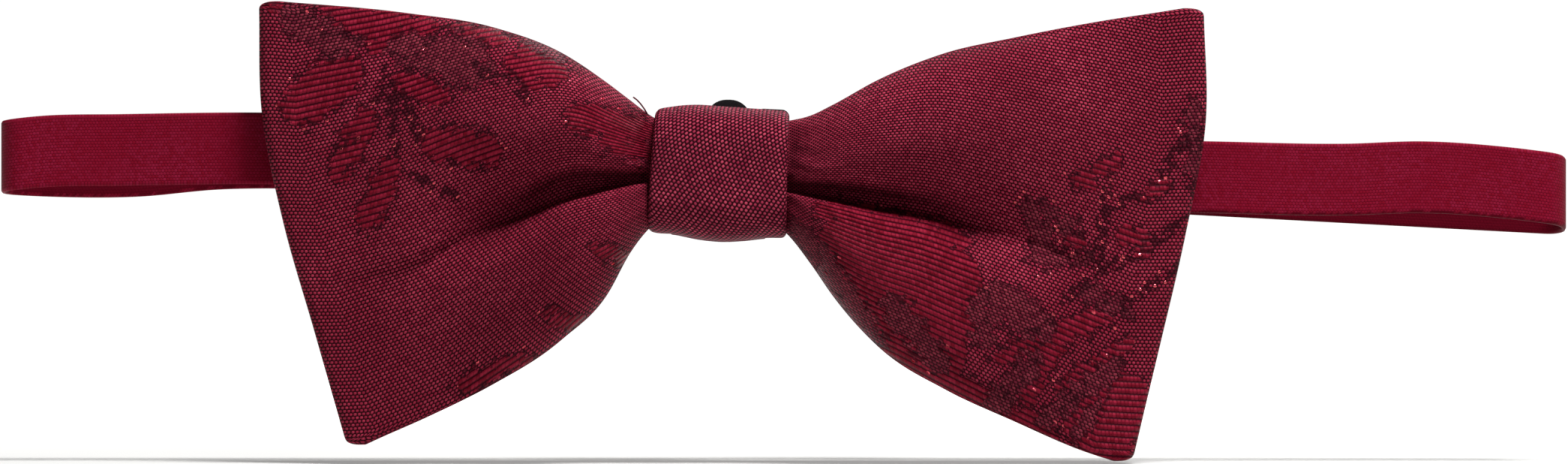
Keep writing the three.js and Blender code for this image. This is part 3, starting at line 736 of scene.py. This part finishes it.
def wing_place(wing, s, v, depth, roll=1.0):
    """A point of a wing, with its crease's row and its height there.

    s runs along the folded loop and v from the lower edge to the upper one. depth goes in from the outer
    skin, and roll is 1 on the outermost line of an edge.
    """
    fold = np.clip((s - FRONT_SHARE) / FOLD_SHARE, 0, 1)
    back = s > FRONT_SHARE + FOLD_SHARE / 2
    run = np.where(back, (1 - s) / (1 - FRONT_SHARE - FOLD_SHARE), s / FRONT_SHARE)
    run = np.clip(run, 0, 1)
    from_edge = np.minimum(v, 1 - v) * CLOTH_HIGH + PLY / 2 * (1 - roll)
    near_corner = np.clip(1 - from_edge / CORNER_ROUND, 0, 1)
    trim = CORNER_ROUND * (1 - np.sqrt(1 - near_corner**2))

    def reach(row):
        return WING_START + (curve(wing["outer"], row) - FOLD_HALF - WING_START) * run

    out = reach(v) - trim * run**8
    top = curve(wing["top"], reach(np.ones_like(v)))
    low = curve(wing["low"], reach(np.zeros_like(v)))
    height = low + (top - low) * v
    middle = reach(np.full_like(v, 0.5))
    crease_row = (curve(wing["crease"], middle) - low) / (top - low)
    u = np.clip((middle - SPREAD_FROM) / (curve(wing["outer"], 0.5 * np.ones_like(v)) - SPREAD_FROM), 0, 1)

    upper = v > crease_row
    from_crease = np.abs(v - crease_row) * (top - low)
    lobe_high = np.where(upper, 1 - crease_row, crease_row) * (top - low)
    valley = curve(wing["valley"], u)
    t = np.clip((from_crease - valley) / (lobe_high - valley), 0, 1)
    rise = np.where(upper, curve(UPPER_RISE, u), curve(LOWER_RISE, u))
    # Near the knot a lobe climbs steeply out of the valley, then slopes up to its crest and rolls over.
    cliff_wide = np.where(upper, 0.12, 0.09)
    cliff = np.sin(math.pi / 2 * np.clip(t / cliff_wide, 0, 1)) ** 1.2
    slope = np.sin(math.pi / 2 * np.clip(t / rise, 0, 1))
    steep = np.where(upper, 0.66, 0.8) * (1 - smooth_step(0.15, 0.55, u))
    climb = steep * cliff + (1 - steep) * slope
    fall = np.sqrt(np.clip(1 - np.clip((t - rise) / (1 - rise), 0, 1) ** 2.4, 0, 1))
    lobe = np.where(t < rise, climb, fall)
    whole = np.clip(1 - np.abs(2 * v - 1) ** 2.6, 0, 1)
    fade = 1 - smooth_step(*wing["fading"], u)
    swell = np.where(upper, curve(UPPER_SWELL, u), curve(LOWER_SWELL, u))
    # Small pleats run out from the knot, and a slow ripple crosses the flat part.
    pleats = 0.2 * np.exp(-u / 0.12) * np.sin(2 * math.pi * (6.5 * v + 0.5 * np.sin(9 * u)))
    pleats = pleats * smooth_step(0, 0.04, u)
    ripple = 0.35 * np.sin(0.24 * out + 5 * v) * np.sin(3.1 * v + 0.09 * out) * smooth_step(0.2, 0.6, u)
    # Short creases run over the lower lobe's crest.
    crest = np.where(upper, 0, np.exp(-(((t - 0.16) / 0.12) ** 2))) * smooth_step(0.04, 0.12, u)
    crest = crest * (1 - smooth_step(0.36, 0.55, u))
    crumple = wing["crumple"] * crest * np.sin(2.1 * out + 1.4 * np.sin(0.7 * out) + 6 * v)
    forward = swell * (fade * lobe + (1 - fade) * whole) + (pleats + ripple + crumple) * whole
    backward = curve(BACK_SWELL, u) * whole
    backward = backward + 0.25 * np.sin(0.2 * out + 4 * v) * whole * (1 - fade)
    stand_off = np.where(back, np.maximum(backward, 0), -np.maximum(forward, 0))

    half = FOLD_HALF - depth
    place_out = out + half * np.sin(fold * math.pi)
    place_deep = WING_MIDDLE_Y - half * np.cos(fold * math.pi) + stand_off
    height = height - (2 * v - 1) * edge_proud(u)
    return wing["side"] * place_out, place_deep, height, crease_row, top - low


def make_wing(name):
    wing = WINGS[name]
    other = {"left": "right", "right": "left"}[name]

    def place(s, w):
        v, turn = flat_section(w, 0.0, 1.0)
        depth = PLY / 2 * (1 - np.cos(turn))
        x, y, z, _, _ = wing_place(wing, s, v, depth, np.abs(np.sin(turn)))
        u = np.clip((np.abs(x) - SPREAD_FROM) / MEAN_REACH, 0, 1)
        return x, y, z + edge_proud(u) * np.sin(turn)

    def cloth(s, w):
        v, turn = flat_section(w, 0.0, 1.0)
        x, _, _, crease_row, high = wing_place(wing, s, v, 0)
        spread = 0.5 * CLOTH_HIGH + 0.5 * high * 1.12
        over_edge = PLY / 2 * np.where(v > 0.5, turn, turn - 2 * math.pi) * (turn > 0)
        across = (v - crease_row) * spread + over_edge
        along = np.where(s > FRONT_SHARE + FOLD_SHARE / 2, LOOP_LONG - np.abs(x), np.abs(x))
        return along, across

    def marks(s, w):
        v, _ = flat_section(w, 0.0, 1.0)
        x, _, z, _, _ = wing_place(wing, s, v, 0)
        back = s > FRONT_SHARE + FOLD_SHARE
        made = {}
        for key, figures in (("float_depth", FLOATS), ("plum_depth", PLUMS), ("stem_depth", STEMS)):
            front = figure_depth(x, z, figures[name])
            behind = figure_depth(-x, z, figures[other])
            made[key] = np.where(back, behind, front)
        return made

    obj = loft(f"{name}_wing", 220, 340, place, cloth, marks)
    obj.data.materials.append(JACQUARD)
    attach(obj, "root")
    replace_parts(obj, f"{name}_wing_cloth")

    def lining_place(s, w):
        # It keeps behind its cloth where that turns sharply into the fold.
        v, turn = flat_section(w, 0.05, 0.95)
        depth = PLY / 2 - 0.06 * np.cos(turn)
        near = [wing_place(wing, s, v + step, depth)[1] for step in (-0.02, 0, 0.02)]
        x, _, z, _, _ = wing_place(wing, s, v, depth)
        front = s < FRONT_SHARE + FOLD_SHARE / 2
        return x, np.where(front, np.max(near, axis=0), np.min(near, axis=0)), z

    lining = loft(f"{name}_wing_lining", 110, 340, lining_place, cloth)
    lining.data.materials.append(CANVAS)
    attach(lining, "root")
    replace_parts(lining, f"{name}_wing_interlining")


for wing_name in WINGS:
    make_wing(wing_name)


# ---------------------------------------------------------------- knot

KNOT_THICK = 1.5
KNOT_CORNER_FRONT = 5.2  # radii of the band's loop, seen from the side
KNOT_CORNER_BACK = 3.0
# Heights of the knot's upper and lower edges by distance from the middle, and its sides by height.
KNOT_TOP = [
    (-9.3, 7.1), (-8.5, 7.6), (-5.6, 8.3), (-2.6, 8.5), (0.3, 8.3), (3.2, 8.1), (6.1, 7.9), (9.3, 7.6),
]
KNOT_LOW = [
    (-9.3, -7.7), (-8.5, -8.0), (-5.6, -8.3), (-2.6, -8.9), (0.3, -9.2), (3.2, -9.1), (6.1, -8.8),
    (9.3, -8.8),
]
KNOT_LEFT = [(-9, -9.2), (0, -8.7), (8, -8.1)]
KNOT_RIGHT = [(-9, 8.85), (0, 9.0), (8, 9.25)]


def band_loop(s, depth):
    """A point of the band's loop round the bow, depth inside its outer face.

    Returns how far back it is, how high from -1 to 1, and the loop's length.
    """
    steps = 12
    front, back = knot_low[1] - 0.3, knot_high[1]
    high = (knot_high[2] - knot_low[2]) / 2
    corners = [
        (front, -1, KNOT_CORNER_FRONT, math.pi * 1.5),
        (front, 1, KNOT_CORNER_FRONT, math.pi),
        (back, 1, KNOT_CORNER_BACK, math.pi / 2),
        (back, -1, KNOT_CORNER_BACK, 0),
    ]
    points = []
    for y, up, radius, start in corners:
        centre_y = y + radius if y == front else y - radius
        centre_z = up * (high - radius)
        for step in range(steps + 1):
            angle = start - step / steps * math.pi / 2
            reach = radius - depth
            points.append((centre_y + reach * math.cos(angle), centre_z + reach * math.sin(angle)))
    points.append(points[0])
    points = np.array(points)
    length = np.concatenate([[0], np.cumsum(np.hypot(*np.diff(points, axis=0).T))])
    share = s * length[-1]
    return np.interp(share, length, points[:, 0]), np.interp(share, length, points[:, 1]) / high, length[-1]


def make_knot():
    def place_at(s, w, edge_in, skin):
        across, turn = flat_section(w, -1 + edge_in, 1 - edge_in, edge=0.07)
        outer = band_loop(s, skin)
        inner = band_loop(s, KNOT_THICK - skin)
        share = (1 - np.cos(turn)) / 2
        y = outer[0] + (inner[0] - outer[0]) * share
        up = outer[1] + (inner[1] - outer[1]) * share
        z = 8 * up
        left, right = curve(KNOT_LEFT, z), curve(KNOT_RIGHT, z)
        rolled = (KNOT_THICK / 2 - skin) * np.sin(turn)
        x = (left + right) / 2 + across * ((right - left) / 2 - KNOT_THICK / 2) + rolled
        top, low = curve(KNOT_TOP, x), curve(KNOT_LOW, x)
        z = (top + low) / 2 + up * (top - low) / 2
        front = smooth_step(-6, -12, y)
        # The front is slightly round, with shallow dents.
        belly = front * 0.5 * (1 - np.clip(np.abs(x) / 9, 0, 1) ** 2)
        sag = front * 0.16 * np.sin(0.5 * x + 0.35 * z) * np.cos(0.22 * z)
        return x, y - belly + sag, z

    def cloth(s, w):
        across, turn = flat_section(w, -8.4, 8.4, edge=0.07)
        over_edge = KNOT_THICK / 2 * np.where(across > 0, turn, turn - 2 * math.pi) * (turn > 0)
        long = band_loop(s, 0)[2]
        # The twill's lines lean as the band was pulled tight.
        return across + over_edge + 0.07 * long * np.sin(2 * math.pi * s), s * long

    band = loft("knot_wrap", 240, 150, lambda s, w: place_at(s, w, 0, 0), cloth, cap=False)
    band.data.materials.append(TWILL)
    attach(band, "root")
    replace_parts(band, "knot_band")
    lining = loft("knot_lining", 120, 60, lambda s, w: place_at(s, w, 0.06, 0.55), cloth, cap=False)
    lining.data.materials.append(CANVAS)
    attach(lining, "root")
    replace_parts(lining, "knot_band_interlining")


make_knot()


def thread_along(name, points, radius):
    """A round thread through points, closed at both ends."""
    data = bpy.data.curves.new(name, "CURVE")
    data.dimensions = "3D"
    data.bevel_depth = radius * MM
    data.bevel_resolution = 2
    data.use_fill_caps = True
    spline = data.splines.new("POLY")
    spline.points.add(len(points) - 1)
    for point, place in zip(spline.points, points):
        point.co = (*(Vector(place) * MM), 1)
    obj = bpy.data.objects.new(name, data)
    bpy.context.collection.objects.link(obj)
    data.materials.append(THREAD)
    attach(obj, "root")
    return obj


def make_seam():
    """The zigzag that closes the band, on the knot's underside."""
    legs = 24
    leg_long = 0.5
    half_wide = 0.8
    radius = 0.15
    bottom_y = -4.6
    points = []
    for leg in range(legs + 1):
        x = (leg - legs / 2) * leg_long
        y = bottom_y + half_wide * (-1) ** leg
        points.append((x, y, float(curve(KNOT_LOW, x)) + 0.3 * radius))
    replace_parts(thread_along("knot_seam_thread", points, radius), "knot_seam_stitches")


make_seam()


def make_loose_thread():
    """One end of thread has worked loose where the left wing goes into the knot."""
    points = []
    for step in range(13):
        s = step / 12
        points.append((-8.9 - 2.0 * s, -8.6 - 3.4 * s, 6.8 + 4.0 * s - 1.4 * s * s))
    thread_along("loose_thread", points, 0.1)


make_loose_thread()


# ---------------------------------------------------------------- neck strap

# Heights of the strap's middle line by distance from the middle, in front and behind.
FRONT_ROUTE = [
    (-94, 1.9), (-88, 2.5), (-78, 2.7), (-60, 2.9), (-30, 1.9), (0, 1), (40, -0.3), (64, -0.85), (82, -1.15),
    (92, -0.85), (103, -1.6), (111, -2.6),
]
LEFT_ROUTE = [(-94, 1.6), (-88, 1.3), (-76, 1.3), (-66, 2.2), (-50, 2.3), (-20, 1.8), (10, 1.8)]
LAYER = 0.02  # room between two pieces of strap that lie end to end
STRAP_EDGE = 0.08


def arc_points(centre_x, centre_y, radius, start, end, steps=24):
    angles = np.linspace(start, end, steps + 1)
    return [(centre_x + radius * math.cos(a), centre_y + radius * math.sin(a)) for a in angles]


class Path:
    """A ribbon's middle line seen from above, followed by its length."""

    def __init__(self, points):
        self.points = np.array(points)
        steps = np.hypot(*np.diff(self.points, axis=0).T)
        self.lengths = np.concatenate([[0], np.cumsum(steps)])
        self.long = self.lengths[-1]

    def at(self, s):
        """Points, and the directions square to the line, at shares s of its length."""
        reach = s * self.long
        near = 0.05  # how far to each side the line's direction is taken
        places = [
            np.stack([np.interp(r, self.lengths, self.points[:, i]) for i in (0, 1)], axis=1)
            for r in (reach, np.maximum(reach - near, 0), np.minimum(reach + near, self.long))
        ]
        along = places[2] - places[1]
        along /= np.linalg.norm(along, axis=1, keepdims=True)
        return places[0], np.stack([along[:, 1], -along[:, 0]], axis=1)


def ribbon(name, points, lift, bodies, nodes, inner_first=False, on_tail=False):
    """A length of strap along points, seen from above, that stands for nodes.

    lift(x, y) is the height of its middle line. A piece on_tail is laid along the slanting tail instead, and
    its points are distances from the hook's bar. A piece on one body moves with it; a piece on two bodies is
    fixed where it is made.
    """
    path = Path(points)

    def place(s, w):
        across, turn = flat_section(w, -1, 1, edge=STRAP_EDGE)
        middle, out = path.at(s)
        half = STRAP_THICK / 2
        offset = half * np.cos(turn)
        rolled = half * np.sin(turn)
        high = across * (STRAP_WIDE / 2 - half) + rolled
        x = middle[:, 0] + offset * out[:, 0]
        y = middle[:, 1] + offset * out[:, 1]
        if on_tail:
            return (
                hook_bar[0] + x * tail_along[0] + high * tail_up[0],
                y,
                hook_bar[2] + x * tail_along[2] + high * tail_up[2],
            )
        return x, y, lift(middle[:, 0], middle[:, 1]) + high

    def cloth(s, w):
        across, _ = flat_section(w, -STRAP_WIDE / 2, STRAP_WIDE / 2, edge=STRAP_EDGE)
        other_face = 400  # puts the two faces on different threads
        return s * path.long + np.where(w > 0.5, other_face, 0), across

    def marks(s, w):
        # The reverse face is marked for its darker colour, which is partly painted shade.
        first_face = w < 0.5 - STRAP_EDGE / 2
        return {"shaded_reverse_side": np.where(first_face == inner_first, 1.0, 0.0)}

    obj = loft(name, max(8, int(path.long * 2.2)), 40, place, cloth, marks)
    obj.data.materials.append(SATIN)
    if len(bodies) == 1:
        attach(obj, bodies[0])
    else:
        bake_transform(obj)
    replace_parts(obj, *nodes)


left_run_y = turn_left_high[1] - STRAP_THICK / 2
left_turn = (left_run_y - STRAP_FRONT_Y) / 2
left_turn_x = turn_left_low[0] + STRAP_THICK / 2 + left_turn
ring_bar_x = ring_low[0] + 0.55
ring_bar_y = (ring_low[1] + ring_high[1]) / 2
ring_wrap = ring_bar_y - left_run_y
left_return_y = ring_bar_y + ring_wrap
tail_y = turn_right_high[1] - STRAP_THICK / 2
right_turn = (tail_y - STRAP_FRONT_Y) / 2
right_turn_x = turn_right_high[0] - STRAP_THICK / 2 - right_turn
hook_wrap = hook_bar[1] - tail_y
tail_return_y = hook_bar[1] + hook_wrap
SLIDE_AT = 22  # from the hook's bar to the slide's middle bar
SLIDE_BAR_Y = 7.177
SLIDE_WRAP = 1.24  # radius of the strap's middle line round that bar
RETURN_STUB = 2.15  # how far the strap comes back past the hook before the doubled run starts
HALF_TURN = math.pi / 2


def left_lift(x, y):
    share = smooth_step(STRAP_FRONT_Y, left_run_y, y)
    return curve(FRONT_ROUTE, x) * (1 - share) + curve(LEFT_ROUTE, x) * share


def right_lift(x, y):
    share = smooth_step(STRAP_FRONT_Y, tail_y, y)
    tail_height = hook_bar[2] + (x - hook_bar[0]) * tail_along[2] / tail_along[0]
    return curve(FRONT_ROUTE, x) * (1 - share) + tail_height * share


def strap_wave(x):
    """How far the front run bellies forward between the wings and its turns."""
    out = (abs(x) - 20) / 70
    return 0.9 * math.sin(math.pi * min(max(out, 0), 1)) ** 2 * (0.6 + 0.4 * math.sin(0.19 * x + 1.0))


def make_strap():
    left = [(-1.0, STRAP_FRONT_Y), (-20.0, STRAP_FRONT_Y)]
    left += [(x, STRAP_FRONT_Y - strap_wave(x)) for x in np.arange(-21.0, left_turn_x, -1.0)]
    left += arc_points(left_turn_x, (STRAP_FRONT_Y + left_run_y) / 2, left_turn, 3 * HALF_TURN, HALF_TURN)
    left += arc_points(ring_bar_x, ring_bar_y, ring_wrap, -HALF_TURN, HALF_TURN)
    left += [(ring_bar_x - 14, left_return_y)]
    ribbon("strap_left_half", left, left_lift, ("root",), ("strap_left_turn", "strap_left_back_run"), True)

    right = [(-0.98, STRAP_FRONT_Y), (20.0, STRAP_FRONT_Y)]
    right += [(x, STRAP_FRONT_Y - strap_wave(x)) for x in np.arange(21.0, right_turn_x, 1.0)]
    right += arc_points(right_turn_x, (STRAP_FRONT_Y + tail_y) / 2, right_turn, -HALF_TURN, HALF_TURN)
    right += arc_points(hook_bar[0], hook_bar[1], hook_wrap, 3 * HALF_TURN, HALF_TURN)
    right += [(hook_bar[0] + RETURN_STUB, tail_return_y)]
    ribbon(
        "strap_right_half",
        right,
        right_lift,
        ("root", "right_strap"),
        ("strap_front_run", "strap_right_turn", "strap_right_back_run"),
    )

    loop = [(RETURN_STUB + LAYER, tail_return_y), (12, SLIDE_BAR_Y + SLIDE_WRAP)]
    loop += arc_points(SLIDE_AT, SLIDE_BAR_Y, SLIDE_WRAP, HALF_TURN, -HALF_TURN)
    loop += [(SLIDE_AT - 8, SLIDE_BAR_Y - SLIDE_WRAP)]
    ribbon(
        "strap_slide_end",
        loop,
        None,
        ("right_strap", "slide"),
        ("strap_return_run", "strap_sewn_end"),
        on_tail=True,
    )


make_strap()


# ---------------------------------------------------------------- stitches, thread and black fittings


def finish_node(name, material):
    for material_slot in frame["nodes"][name].material_slots:
        material_slot.material = material


for node_name in ("gathering_thread", "ring_bar_tack", "slide_bar_tack"):
    finish_node(node_name, THREAD)
for node_name in ("closure_ring", "closure_hook", "strap_slide"):
    finish_node(node_name, ENAMEL)
